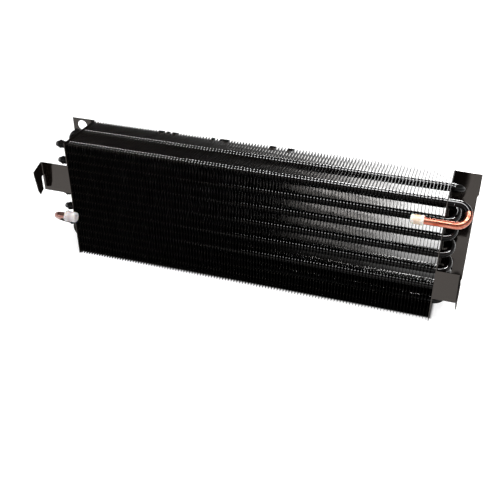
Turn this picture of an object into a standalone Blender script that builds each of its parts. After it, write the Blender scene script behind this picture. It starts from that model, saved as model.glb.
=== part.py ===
"""Evaporator coil: a stack of plate fins on staggered hairpin tubes between two folded end plates.

X runs along the coil, Y from its front face to its back, and Z up from the plates' lower edges.
"""

import math

import bmesh
import bpy
from mathutils import Matrix, Vector

MM = 0.001

# Tubes: staggered columns from front to back, rows counted down from the top.
TUBE_RADIUS = 4.76 * MM
TUBE_SIDES = 8
PUNCH_SIDES = 6
ROW_PITCH = 25.4 * MM
COLUMN_PITCH = 22.0 * MM
COLUMNS = 4
ROWS = 7
TOP_MARGIN = 7.0 * MM
FRONT_MARGIN = 11.0 * MM
BACK_MARGIN = 11.0 * MM
BOTTOM_MARGIN = 11.9 * MM
BEND_STEPS = 5
HAIRPIN_REACH = 0.6 * MM
CONNECTION_REACH = 13.2 * MM
STUB_REACH = 8.0 * MM

# Clearances.
FIT = 0.35 * MM
SEAT = 0.3 * MM

# Fins.
FIN_COUNT = 121
FIN_PITCH = 4.41 * MM
FIN_THICKNESS = 0.3 * MM
FIN_LIFT = 0.4 * MM
COLLAR_WALL = 0.8 * MM

# End plates, folded from one sheet each.
SHEET = 1.2 * MM
PLATE_GAP = 2.05 * MM
PLATE_TOP_RISE = 0.6 * MM
BACK_GAP = 0.4 * MM
FLANGE_WIDTH_LEFT = 36.8 * MM
FLANGE_WIDTH_RIGHT = 35.5 * MM
FOLD_STEPS = 3
FOLD_RADIUS = 3.0 * MM
CHAMFER_WIDTH = 6.5 * MM
CHAMFER_HEIGHT = 26.0 * MM
LIP_DEPTH = 19.0 * MM
LIP_TAPER = 8.0 * MM

# Hanging hole at the top of the left flange.
HOLE_RADIUS = 8.0 * MM
HOLE_SIDES = 20
HOLE_FROM_TOP = 10.8 * MM
HOLE_FROM_EDGE = 15.4 * MM

# Front brackets, each with a hook that hangs in front of it.
BRACKET_HEIGHT = 44.6 * MM
BRACKET_DROP_LEFT = 35.6 * MM
BRACKET_DROP_RIGHT = 102.4 * MM
BRACKET_WIDTH_LEFT = 43.8 * MM
BRACKET_WIDTH_RIGHT = 31.2 * MM
HOOK_REACH_LEFT = 23.0 * MM
HOOK_REACH_RIGHT = 20.0 * MM
HOOK_SLOT = 4.6 * MM
HOOK_NECK = 20.0 * MM
HOOK_SHOULDER = 6.0 * MM
HOOK_POINT = 3.0 * MM

# Connection tubes, which turn back in front of the fins and end in caps.
LEG_STANDOFF = 10.0 * MM
INLET_DROP = 19.4 * MM
OUTLET_RISE = 19.8 * MM
INLET_END_INSET = 35.2 * MM
OUTLET_END_INSET = 4.1 * MM
INLET_CAP_RADIUS = 6.8 * MM
OUTLET_CAP_RADIUS = 8.5 * MM
CAP_LENGTH = 17.0 * MM
CAP_FLOOR = 6.0 * MM
CAP_ROUND = 3.0 * MM
CAP_SIDES = 12

# Share of its size by which the corner's cutter runs past the flange.
OVERSHOOT = 0.1

# Sizes that follow from those above.
FIN_DEPTH = FRONT_MARGIN + (COLUMNS - 1) * COLUMN_PITCH + BACK_MARGIN
FIN_HEIGHT = TOP_MARGIN + (ROWS - 0.5) * ROW_PITCH + BOTTOM_MARGIN
FIN_TOP = FIN_LIFT + FIN_HEIGHT
SLOT_HALF = TUBE_RADIUS + FIT
COLLAR_RADIUS = SLOT_HALF + COLLAR_WALL
STACK_HALF = (FIN_COUNT - 1) * FIN_PITCH / 2 + FIN_THICKNESS / 2
PLATE_INNER = STACK_HALF + PLATE_GAP
PLATE_OUTER = PLATE_INNER + SHEET
PLATE_TOP = FIN_TOP + PLATE_TOP_RISE
PLATE_FRONT = -SHEET / 2
PLATE_BACK = FIN_DEPTH + BACK_GAP + SHEET
PUNCH_RADIUS = (TUBE_RADIUS + SEAT) / math.cos(math.pi / PUNCH_SIDES)
LEFT_LEG_END = -(PLATE_OUTER + STUB_REACH)
RIGHT_LEG_END = PLATE_OUTER + HAIRPIN_REACH
CONNECTION_TURN = PLATE_OUTER + CONNECTION_REACH

# Which tubes the bends join, as pairs of (column, row). One place in the pattern has no tube.
INLET = (0, 0)
OUTLET = (0, 5)
EMPTY = (0, 6)
HAIRPINS = (
    [((1, row), (0, row + 1)) for row in range(4)]
    + [((1, 4), (2, 5)), ((2, 4), (2, 3)), ((2, 2), (2, 1)), ((2, 0), (3, 0))]
    + [((3, row), (3, row + 1)) for row in (1, 3, 5)]
    + [((2, 6), (1, 6)), ((1, 5), (0, 5))]
)
RETURN_BENDS = (
    [((0, row), (1, row)) for row in range(5)]
    + [((2, row), (2, row + 1)) for row in (0, 2, 4)]
    + [((3, row), (3, row + 1)) for row in (0, 2, 4)]
    + [((3, 6), (2, 6)), ((1, 6), (1, 5))]
)

BLACK_COAT = ("black_coat", (0.012, 0.011, 0.011), 0.28, 0.0)
BLACK_FIN = ("black_fin", (0.008, 0.008, 0.009), 0.42, 0.0)
BARE_COPPER = ("bare_copper", (0.72, 0.30, 0.14), 0.26, 1.0)
CAP_PLASTIC = ("cap_plastic", (0.90, 0.86, 0.80), 0.40, 0.0)


def tube_centre(column, row):
    """The place of one tube in the pattern, as its Y and Z."""
    stagger = ROW_PITCH / 2 if column % 2 else 0.0
    y = FRONT_MARGIN + column * COLUMN_PITCH
    z = FIN_TOP - TOP_MARGIN - row * ROW_PITCH - stagger
    return y, z


def used_places():
    """Every place in the pattern that holds a tube."""
    return [(c, r) for c in range(COLUMNS) for r in range(ROWS) if (c, r) != EMPTY]


def material(finish):
    """A plain surface from a name, a colour, a roughness and a metallic value."""
    name, colour, roughness, metallic = finish
    found = bpy.data.materials.get(name)
    if found:
        return found
    made = bpy.data.materials.new(name)
    made.use_nodes = True
    shader = made.node_tree.nodes["Principled BSDF"]
    shader.inputs["Base Color"].default_value = (*colour, 1.0)
    shader.inputs["Roughness"].default_value = roughness
    shader.inputs["Metallic"].default_value = metallic
    made.diffuse_color = (*colour, 1.0)
    return made


def add_object(name, mesh_data, finish, parent, smooth_angle=None):
    """Turns a bmesh into a named object with its own material."""
    bmesh.ops.recalc_face_normals(mesh_data, faces=mesh_data.faces)
    mesh = bpy.data.meshes.new(name)
    mesh_data.to_mesh(mesh)
    mesh_data.free()
    if smooth_angle:
        mesh.shade_smooth()
        mesh.set_sharp_from_angle(angle=smooth_angle)
    own = material(finish).copy()
    own.name = f"{finish[0]}_{name}"
    mesh.materials.append(own)
    made = bpy.data.objects.new(name, mesh)
    bpy.context.collection.objects.link(made)
    made.parent = parent
    return made


def ring(centre_y, centre_z, radius, sides):
    """Corner points of a regular ring in the YZ plane, the first one straight behind its centre."""
    turn = 2 * math.pi / sides
    return [
        (centre_y + radius * math.cos(i * turn), centre_z + radius * math.sin(i * turn))
        for i in range(sides)
    ]


def bridge_rings(mesh_data, first, second):
    """Joins two closed rows of points with one band of faces."""
    count = len(first)
    for i in range(count):
        j = (i + 1) % count
        mesh_data.faces.new((first[i], first[j], second[j], second[i]))


def swept_tube(sections, sides=TUBE_SIDES):
    """A solid tube through a row of round sections, each a centre and a turning matrix."""
    mesh_data = bmesh.new()
    rings = []
    for centre, turn in sections:
        corners = ring(0.0, 0.0, TUBE_RADIUS, sides)
        rings.append([mesh_data.verts.new(centre + turn @ Vector((0.0, y, z))) for y, z in corners])
    for first, second in zip(rings, rings[1:]):
        bridge_rings(mesh_data, first, second)
    mesh_data.faces.new(rings[0])
    mesh_data.faces.new(rings[-1])
    return mesh_data


def turned_sections(start, end, side, steps):
    """Sections round half a circle from one tube centre to another, bulging towards the given side."""
    a = Vector((0.0, *start))
    b = Vector((0.0, *end))
    middle = (a + b) / 2
    across = a - middle
    outward = Vector((side, 0.0, 0.0))
    axis = across.cross(outward).normalized()
    sections = []
    for i in range(steps + 1):
        turn = Matrix.Rotation(math.pi * i / steps, 3, axis)
        sections.append((middle + turn @ across, turn))
    return sections


def u_tube(start, end, side, bend_x, start_x=None, end_x=None):
    """A bent tube between two places in the YZ plane, with a straight leg wherever an end is given."""
    shift = Vector((bend_x, 0.0, 0.0))
    sections = [(centre + shift, turn) for centre, turn in turned_sections(start, end, side, BEND_STEPS)]
    if start_x is not None:
        centre, turn = sections[0]
        sections.insert(0, (Vector((start_x, centre.y, centre.z)), turn))
    if end_x is not None:
        centre, turn = sections[-1]
        sections.append((Vector((end_x, centre.y, centre.z)), turn))
    return swept_tube(sections)


def fin_outline():
    """One fin's edge as Y and Z points, and how many of them lie on the first tube's collar.

    The fin has one tall slot for each column of tubes, open at its lower edge. The first slot ends
    at the collar, whose upper half belongs to the fin.
    """
    bottom = FIN_LIFT
    collar_y, collar_z = tube_centre(*INLET)
    collar = ring(collar_y, collar_z, COLLAR_RADIUS, PUNCH_SIDES)[: PUNCH_SIDES // 2 + 1]
    points = list(collar)
    points += [(collar_y - COLLAR_RADIUS, bottom), (0.0, bottom), (0.0, FIN_TOP), (FIN_DEPTH, FIN_TOP)]
    points.append((FIN_DEPTH, bottom))
    for column in reversed(range(1, COLUMNS)):
        y, z = tube_centre(column, 0)
        top = z + SLOT_HALF
        points += [(y + SLOT_HALF, bottom), (y + SLOT_HALF, top), (y - SLOT_HALF, top), (y - SLOT_HALF, bottom)]
    points.append((collar_y + COLLAR_RADIUS, bottom))
    return points, len(collar)


def fin_stack():
    """All fins as one piece, carried by their joined collars on the first tube."""
    outline, shared = fin_outline()
    collar_y, collar_z = tube_centre(*INLET)
    collar = ring(collar_y, collar_z, COLLAR_RADIUS, PUNCH_SIDES)
    bore = ring(collar_y, collar_z, SLOT_HALF, PUNCH_SIDES)
    mesh_data = bmesh.new()
    last_ring = None
    end_rings = []
    for index in range(FIN_COUNT):
        middle = (index - (FIN_COUNT - 1) / 2) * FIN_PITCH
        edges = []
        for x in (middle - FIN_THICKNESS / 2, middle + FIN_THICKNESS / 2):
            edge = [mesh_data.verts.new((x, y, z)) for y, z in outline]
            under = [mesh_data.verts.new((x, y, z)) for y, z in collar[shared:]]
            edges.append((edge, edge[:shared] + under))
        (left_edge, left_ring), (right_edge, right_ring) = edges
        mesh_data.faces.new(left_edge)
        mesh_data.faces.new(right_edge)
        for i in range(shared - 1, len(outline)):
            j = (i + 1) % len(outline)
            mesh_data.faces.new((left_edge[i], left_edge[j], right_edge[j], right_edge[i]))
        for i in range(shared - 1, PUNCH_SIDES):
            j = (i + 1) % PUNCH_SIDES
            mesh_data.faces.new((left_ring[i], left_ring[j], right_ring[j], right_ring[i]))
        if last_ring:
            bridge_rings(mesh_data, last_ring, left_ring)
        else:
            end_rings.append(left_ring)
        last_ring = right_ring
    end_rings.append(last_ring)
    bore_rings = [[mesh_data.verts.new((r[0].co.x, y, z)) for y, z in bore] for r in end_rings]
    for outer, inner in zip(end_rings, bore_rings):
        bridge_rings(mesh_data, outer, inner)
    bridge_rings(mesh_data, *bore_rings)
    return mesh_data


def prism(points, low, high, axis):
    """A flat outline given as pairs, made thick along one axis."""
    mesh_data = bmesh.new()

    def place(pair, depth):
        if axis == "X":
            return (depth, pair[0], pair[1])
        if axis == "Y":
            return (pair[0], depth, pair[1])
        return (pair[0], pair[1], depth)

    rows = [[mesh_data.verts.new(place(pair, depth)) for pair in points] for depth in (low, high)]
    bridge_rings(mesh_data, *rows)
    mesh_data.faces.new(rows[0])
    mesh_data.faces.new(rows[1])
    bmesh.ops.recalc_face_normals(mesh_data, faces=mesh_data.faces)
    return mesh_data


def helper_object(name, mesh_data):
    """A working solid that takes part in a Boolean and is then removed."""
    bmesh.ops.recalc_face_normals(mesh_data, faces=mesh_data.faces)
    mesh = bpy.data.meshes.new(name)
    mesh_data.to_mesh(mesh)
    mesh_data.free()
    made = bpy.data.objects.new(name, mesh)
    bpy.context.collection.objects.link(made)
    made.hide_render = True
    made.display_type = "WIRE"
    return made


def combined(target, others, operation):
    """Applies one Boolean after another to the target and returns its new mesh."""
    for other in others:
        step = target.modifiers.new(operation.lower(), "BOOLEAN")
        step.operation = operation
        step.solver = "EXACT"
        step.object = other
    depsgraph = bpy.context.evaluated_depsgraph_get()
    result = bpy.data.meshes.new_from_object(target.evaluated_get(depsgraph))
    target.modifiers.clear()
    target.data = result
    for other in others:
        bpy.data.objects.remove(other)
    return result


def plate_plan(side, flange_width):
    """Plan view of the web and the back flange, with a rounded fold between them."""
    inner = PLATE_INNER
    outer = PLATE_OUTER
    back = PLATE_BACK
    tip = outer + flange_width
    fold = FOLD_RADIUS
    points = [(inner, PLATE_FRONT), (outer, PLATE_FRONT)]
    centre = (outer + fold, back - SHEET - fold)
    quarter = [math.pi / 2 * i / FOLD_STEPS for i in range(FOLD_STEPS + 1)]
    points += [(centre[0] - fold * math.cos(a), centre[1] + fold * math.sin(a)) for a in quarter]
    points += [(tip, back - SHEET), (tip, back)]
    wide = fold + SHEET
    points += [(centre[0] - wide * math.cos(a), centre[1] + wide * math.sin(a)) for a in reversed(quarter)]
    return [(side * x, y) for x, y in points]


def hook_outline(top, reach):
    """Side view of a hook arm as Y and Z points, from its fold forward and down to its point."""
    fold = PLATE_FRONT
    inner = fold - HOOK_SLOT
    front = fold - reach
    low = top - BRACKET_HEIGHT
    return [
        (fold + SHEET, top),
        (fold, top),
        (front, top - HOOK_SHOULDER),
        (front, top - 2 * HOOK_SHOULDER),
        (front + 0.2 * reach, low + 2 * HOOK_POINT),
        (front + 0.38 * reach, low - HOOK_POINT / 2),
        (inner, low + HOOK_POINT),
        (inner, top - HOOK_NECK - 2 * MM),
        (fold, top - HOOK_NECK),
        (fold + SHEET, top - HOOK_NECK),
    ]


def end_plate(name, side, flange_width, bracket_width, bracket_drop, hook_reach, parent):
    """One folded end plate: punched web, back flange, front bracket and hook."""
    plate = helper_object(name, prism(plate_plan(side, flange_width), 0.0, PLATE_TOP, "Z"))
    plate.hide_render = False
    plate.display_type = "SOLID"
    top = FIN_TOP - bracket_drop
    reach = PLATE_OUTER + bracket_width
    face = [
        (side * PLATE_INNER, top - BRACKET_HEIGHT),
        (side * reach, top - BRACKET_HEIGHT),
        (side * reach, top),
        (side * PLATE_INNER, top),
    ]
    bracket = helper_object("bracket", prism(face, PLATE_FRONT, PLATE_FRONT + SHEET, "Y"))
    arm_sides = sorted((side * (reach - SHEET), side * reach))
    arm = helper_object("arm", prism(hook_outline(top, hook_reach), arm_sides[0], arm_sides[1], "X"))
    added = [bracket, arm]
    tip = PLATE_OUTER + flange_width
    if side > 0:
        outline = [
            (PLATE_OUTER + 2 * FOLD_RADIUS, PLATE_BACK - SHEET),
            (tip, PLATE_BACK - SHEET),
            (tip - LIP_TAPER, PLATE_BACK + LIP_DEPTH),
            (PLATE_OUTER + 2 * FOLD_RADIUS, PLATE_BACK + LIP_DEPTH),
        ]
        added.append(helper_object("lip", prism(outline, PLATE_TOP - SHEET, PLATE_TOP, "Z")))
    combined(plate, added, "UNION")

    holes = bmesh.new()
    ends = sorted((side * (PLATE_INNER - SHEET), side * (PLATE_OUTER + SHEET)))
    for place in used_places():
        y, z = tube_centre(*place)
        corners = ring(y, z, PUNCH_RADIUS, PUNCH_SIDES)
        rows = [[holes.verts.new((x, cy, cz)) for cy, cz in corners] for x in ends]
        bridge_rings(holes, *rows)
        holes.faces.new(rows[0])
        holes.faces.new(rows[1])
    cutters = [helper_object("tube_holes", holes)]
    if side > 0:
        corner = [
            (tip - CHAMFER_WIDTH * (1 + OVERSHOOT), -CHAMFER_HEIGHT * OVERSHOOT),
            (tip + CHAMFER_WIDTH * OVERSHOOT, -CHAMFER_HEIGHT * OVERSHOOT),
            (tip + CHAMFER_WIDTH * OVERSHOOT, CHAMFER_HEIGHT * (1 + OVERSHOOT)),
        ]
        cutters.append(helper_object("corner", prism(corner, PLATE_BACK - 3 * SHEET, PLATE_BACK + SHEET, "Y")))
    else:
        x = -(tip - HOLE_FROM_EDGE)
        rim = ring(x, PLATE_TOP - HOLE_FROM_TOP, HOLE_RADIUS, HOLE_SIDES)
        cutters.append(helper_object("hanging_hole", prism(rim, PLATE_BACK - 3 * SHEET, PLATE_BACK + SHEET, "Y")))
    mesh = combined(plate, cutters, "DIFFERENCE")
    own = material(BLACK_COAT).copy()
    own.name = f"{BLACK_COAT[0]}_{name}"
    mesh.materials.clear()
    mesh.materials.append(own)
    plate.parent = parent
    return plate


def cap(end_x, direction, y, z, outside):
    """A moulded cap pushed over a tube's end, closed and rounded on the side it points to."""
    bore = TUBE_RADIUS + FIT
    floor = end_x + direction * SEAT
    closed = floor + direction * CAP_FLOOR
    mouth = closed - direction * CAP_LENGTH
    profile = [
        (floor, bore),
        (mouth, bore),
        (mouth, outside),
        (closed - direction * CAP_ROUND, outside),
        (closed - direction * CAP_ROUND * 0.3, outside - CAP_ROUND * 0.3),
        (closed, outside - CAP_ROUND),
    ]
    mesh_data = bmesh.new()
    rows = [
        [mesh_data.verts.new((x, cy, cz)) for cy, cz in ring(y, z, radius, CAP_SIDES)] for x, radius in profile
    ]
    for first, second in zip(rows, rows[1:]):
        bridge_rings(mesh_data, first, second)
    mesh_data.faces.new(rows[0])
    mesh_data.faces.new(rows[-1])
    return mesh_data


def centre_over_origin(frame):
    """Moves the whole coil so that the middle of its base stands on the origin."""
    bpy.context.view_layer.update()
    corners = [
        made.matrix_world @ Vector(corner)
        for made in frame.children
        for corner in made.bound_box
    ]
    low = [min(corner[i] for corner in corners) for i in range(3)]
    high = [max(corner[i] for corner in corners) for i in range(3)]
    frame.location = (-(low[0] + high[0]) / 2, -(low[1] + high[1]) / 2, -low[2])


def build():
    """Makes every piece of the coil under one empty."""
    for old in list(bpy.data.objects):
        bpy.data.objects.remove(old)
    frame = bpy.data.objects.new("coil_frame", None)
    bpy.context.collection.objects.link(frame)
    round_angle = math.radians(50)

    add_object("fin_stack", fin_stack(), BLACK_FIN, frame)
    end_plate(
        "end_plate_left", -1, FLANGE_WIDTH_LEFT, BRACKET_WIDTH_LEFT, BRACKET_DROP_LEFT, HOOK_REACH_LEFT, frame
    )
    end_plate(
        "end_plate_right", 1, FLANGE_WIDTH_RIGHT, BRACKET_WIDTH_RIGHT, BRACKET_DROP_RIGHT, HOOK_REACH_RIGHT, frame
    )

    for number, (first, second) in enumerate(HAIRPINS, 1):
        legs = u_tube(
            tube_centre(*first), tube_centre(*second), 1, RIGHT_LEG_END, LEFT_LEG_END, LEFT_LEG_END
        )
        add_object(f"hairpin_{number:02d}", legs, BLACK_COAT, frame, round_angle)
    for number, (first, second) in enumerate(RETURN_BENDS, 1):
        bend = u_tube(tube_centre(*first), tube_centre(*second), -1, LEFT_LEG_END - SEAT)
        add_object(f"return_bend_{number:02d}", bend, BLACK_COAT, frame, round_angle)

    inlet_y, inlet_z = tube_centre(*INLET)
    leg = Matrix.Identity(3)
    right_joint = PLATE_OUTER + STUB_REACH
    ends = [(Vector((x, inlet_y, inlet_z)), leg) for x in (LEFT_LEG_END, right_joint)]
    add_object("inlet_leg", swept_tube(ends, PUNCH_SIDES), BLACK_COAT, frame, round_angle)

    inlet_end = PLATE_OUTER - INLET_END_INSET
    target = (-LEG_STANDOFF, inlet_z - INLET_DROP)
    inlet = u_tube((inlet_y, inlet_z), target, 1, CONNECTION_TURN, right_joint + SEAT, inlet_end)
    add_object("inlet_tube", inlet, BARE_COPPER, frame, round_angle)
    add_object("inlet_cap", cap(inlet_end, -1, *target, INLET_CAP_RADIUS), CAP_PLASTIC, frame, round_angle)

    outlet_y, outlet_z = tube_centre(*OUTLET)
    outlet_end = -(PLATE_OUTER - OUTLET_END_INSET)
    target = (-LEG_STANDOFF, outlet_z + OUTLET_RISE)
    outlet = u_tube((outlet_y, outlet_z), target, -1, -CONNECTION_TURN, LEFT_LEG_END - SEAT, outlet_end)
    add_object("outlet_tube", outlet, BARE_COPPER, frame, round_angle)
    add_object("outlet_cap", cap(outlet_end, 1, *target, OUTLET_CAP_RADIUS), CAP_PLASTIC, frame, round_angle)

    centre_over_origin(frame)


build()
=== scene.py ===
"""A fin-and-tube evaporator coil, dressed and lit on a white studio sweep."""

import logging
import math
import random
from dataclasses import dataclass, field, replace
from enum import Enum

import bmesh
import bpy
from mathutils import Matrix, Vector

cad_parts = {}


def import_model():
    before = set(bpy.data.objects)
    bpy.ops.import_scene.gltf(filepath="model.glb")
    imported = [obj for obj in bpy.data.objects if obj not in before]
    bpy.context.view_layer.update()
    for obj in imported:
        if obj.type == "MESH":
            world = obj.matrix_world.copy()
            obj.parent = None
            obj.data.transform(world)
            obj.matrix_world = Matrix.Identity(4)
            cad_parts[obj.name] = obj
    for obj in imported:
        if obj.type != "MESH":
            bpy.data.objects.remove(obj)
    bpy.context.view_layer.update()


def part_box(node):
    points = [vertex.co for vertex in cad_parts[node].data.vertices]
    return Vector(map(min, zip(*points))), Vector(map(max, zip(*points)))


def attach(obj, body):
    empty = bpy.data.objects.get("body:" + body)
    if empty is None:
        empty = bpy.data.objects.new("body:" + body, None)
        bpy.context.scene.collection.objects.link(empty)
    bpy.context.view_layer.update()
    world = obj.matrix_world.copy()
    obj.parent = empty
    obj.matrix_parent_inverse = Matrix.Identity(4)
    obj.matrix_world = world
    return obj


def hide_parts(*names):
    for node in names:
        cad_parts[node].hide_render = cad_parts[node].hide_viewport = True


LOG = logging.getLogger("evaporator_coil")
MM = 0.001
PICTURE_PX = 500  # side of the square picture that the focal length is given for
NOISE_RANGE = (0.3, 0.7)  # where most of a noise's values lie

Place = tuple[int, int]
Point = tuple[float, float]
Triple = tuple[float, float, float]
Tree = bpy.types.NodeTree
Socket = bpy.types.NodeSocket
Outputs = bpy.types.NodeOutputs
Material = bpy.types.Material
Piece = bpy.types.Object


class End(Enum):
    """The two ends of the coil, each with the sign of its side on the X axis."""

    LEFT = -1
    RIGHT = 1


class Joining(Enum):
    """How one solid is put together with another."""

    UNION = "UNION"
    DIFFERENCE = "DIFFERENCE"
    INTERSECT = "INTERSECT"


# ---------------------------------------------------------------- colours and nodes


def linear(code: str) -> tuple[float, float, float, float]:
    """Turns an sRGB hex colour into the linear values that shaders take.

    Args:
        code: Six hex digits, with or without a leading hash sign.

    Returns:
        Red, green, blue and an alpha of one.
    """
    digits = code.lstrip("#")
    channels = [int(digits[i : i + 2], 16) / 255 for i in (0, 2, 4)]
    red, green, blue = (c / 12.92 if c <= 0.04045 else ((c + 0.055) / 1.055) ** 2.4 for c in channels)
    return red, green, blue, 1.0


def fill(tree: Tree, node: bpy.types.Node, inputs: dict) -> None:
    """Sets or links some of a node's inputs.

    Args:
        tree: The node tree that holds the node.
        node: The node.
        inputs: Input names or positions, each with a value, an output to link from or a list of outputs.
    """
    for key, value in inputs.items():
        for source in value if isinstance(value, list) else [value]:
            if isinstance(source, Socket):
                tree.links.new(source, node.inputs[key])
            else:
                node.inputs[key].default_value = source


def add_node(tree: Tree, kind: str, inputs: dict | None = None, **options: str) -> Outputs:
    """Adds one node with its settings and links.

    Args:
        tree: The node tree that gets the node.
        kind: The node's type name.
        inputs: Input names or positions, each with what fills it.
        options: Options to set on the node itself.

    Returns:
        The new node's outputs.
    """
    node = tree.nodes.new(kind)
    for name, value in options.items():
        setattr(node, name, value)
    fill(tree, node, inputs or {})
    return node.outputs


def span(start: float, end: float, first: float = 0.0, last: float = 1.0) -> dict[str, float]:
    """Names the limits of a range that is stretched to run from first to last."""
    return {"From Min": start, "From Max": end, "To Min": first, "To Max": last}


def parts_of(tree: Tree, kind: str, output: str) -> Outputs:
    """Splits what an input node gives, such as a place or a normal, into X, Y and Z."""
    return add_node(tree, "ShaderNodeSeparateXYZ", {0: add_node(tree, kind)[output]})


def strongest(tree: Tree, masks: list[Socket]) -> Socket:
    """Joins masks into one that has the highest of their values at each point.

    Args:
        tree: The node tree.
        masks: The masks.

    Returns:
        The joint mask.
    """
    joint = masks[0]
    for mask in masks[1:]:
        joint = add_node(tree, "ShaderNodeMath", {0: joint, 1: mask}, operation="MAXIMUM")[0]
    return joint


def blotches(tree: Tree, size_mm: Triple, detail: float) -> Socket:
    """Adds a noise whose blotches have a real size along each axis.

    Args:
        tree: The material's node tree.
        size_mm: The blotches' size along X, Y and Z, in millimetres.
        detail: How many finer layers the noise carries.

    Returns:
        The noise's value, from zero to one.
    """
    place = add_node(tree, "ShaderNodeTexCoord")["Object"]
    scale = tuple(1 / (side * MM) for side in size_mm)
    sized = add_node(tree, "ShaderNodeMapping", {"Vector": place, "Scale": scale})[0]
    return add_node(tree, "ShaderNodeTexNoise", {"Vector": sized, "Scale": 1.0, "Detail": detail})["Fac"]


def blended(tree: Tree, value: Socket, first: str, second: str, start: float, end: float) -> Socket:
    """Blends two hex colours as a value rises from start to end.

    Args:
        tree: The material's node tree.
        value: The value that drives the blend.
        first: The colour below start.
        second: The colour above end.
        start: Where the blend begins.
        end: Where the blend is complete.

    Returns:
        The blended colour.
    """
    share = add_node(tree, "ShaderNodeMapRange", {"Value": value, **span(start, end)})[0]
    colours = {"Factor": share, 6: linear(first), 7: linear(second)}
    return add_node(tree, "ShaderNodeMix", colours, data_type="RGBA")[2]


def new_material(name: str) -> tuple[Tree, bpy.types.Node, Material]:
    """Starts a material.

    Args:
        name: The finish's name.

    Returns:
        Its node tree, its main shader and the material itself.
    """
    made = bpy.data.materials.new(name)
    made.use_nodes = True
    tree = made.node_tree
    return tree, tree.nodes["Principled BSDF"], made


# ---------------------------------------------------------------- finishes


@dataclass(frozen=True)
class CoatedSteel:
    """Sheet steel dipped in black paint: nearly a mirror, with a faint orange peel and a brown cast."""

    name: str = "black_dipped_steel"
    colour: str = "#090706"
    dusty: str = "#15100d"
    cast: str = "#fff3ea"
    smooth: float = 0.05
    rough: float = 0.1
    dull_rough: float = 0.5
    shine: float = 0.5
    dull_shine: float = 0.04
    index: float = 1.53
    peel_mm: float = 1.6
    peel_depth_mm: float = 0.004
    web_x: float = 0.0
    web_half: float = 1.3 * MM
    # Dull spots, each a centre and a size: painted shade, where the flange is made dark in place of the shade
    # it would mirror.
    spots: tuple[tuple[Vector, Vector], ...] = ()

    def dullness(self, tree: Tree) -> Socket:
        """Adds the mask for dull paint: the web's faces, where the dip drained off, and some dull spots that
        are painted shade.

        Args:
            tree: The material's node tree.

        Returns:
            One where the paint is dull and zero where it shines.
        """
        facing = parts_of(tree, "ShaderNodeNewGeometry", "True Normal")
        turned = add_node(tree, "ShaderNodeMath", {0: facing["X"]}, operation="ABSOLUTE")[0]
        x = parts_of(tree, "ShaderNodeTexCoord", "Object")["X"]
        near = {0: x, 1: self.web_x, 2: self.web_half}
        web = add_node(tree, "ShaderNodeMath", near, operation="COMPARE")[0]
        masks = [
            add_node(tree, "ShaderNodeMapRange", {"Value": turned, **span(0.6, 0.9)})[0],
            add_node(tree, "ShaderNodeMath", {0: web, 1: facing["Z"]}, operation="MULTIPLY")[0],
        ]
        place = add_node(tree, "ShaderNodeTexCoord")["Object"]
        # Each spot dulls the paint so that it mirrors almost nothing and goes dark: painted shade.
        for centre, size in self.spots:
            scale = tuple(1 / side for side in size)
            shift = tuple(-along * factor for along, factor in zip(centre, scale))
            moved = {"Vector": place, "Location": shift, "Scale": scale}
            placed = add_node(tree, "ShaderNodeMapping", moved)[0]
            reach = add_node(tree, "ShaderNodeVectorMath", {0: placed}, operation="LENGTH")["Value"]
            fade = {"Value": reach, **span(0.8, 1.25, 1.0, 0.0)}
            masks.append(add_node(tree, "ShaderNodeMapRange", fade)[0])
        return strongest(tree, masks)

    def material(self) -> Material:
        """Builds the paint with a dusty cast in wide patches and a peel that bends reflections a little."""
        tree, shader, made = new_material(self.name)
        patches = blotches(tree, (60, 60, 45), 3.0)
        grain = blotches(tree, (self.peel_mm,) * 3, 1.0)
        peel = {"Height": grain, "Distance": self.peel_depth_mm * MM, "Strength": 0.5}
        dull = self.dullness(tree)
        uneven = {"Value": patches, **span(*NOISE_RANGE, self.smooth, self.rough)}
        gloss = {"Factor": dull, 2: add_node(tree, "ShaderNodeMapRange", uneven)[0], 3: self.dull_rough}
        shine = {"Value": dull, **span(0.0, 1.0, self.shine, self.dull_shine)}
        looks = {
            "Base Color": blended(tree, patches, self.colour, self.dusty, 0.42, 0.72),
            "Roughness": add_node(tree, "ShaderNodeMix", gloss, data_type="FLOAT")[0],
            "Normal": add_node(tree, "ShaderNodeBump", peel)["Normal"],
            "Specular IOR Level": add_node(tree, "ShaderNodeMapRange", shine)[0],
            "IOR": self.index,
            "Specular Tint": linear(self.cast),
        }
        fill(tree, shader, looks)
        return made


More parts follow.
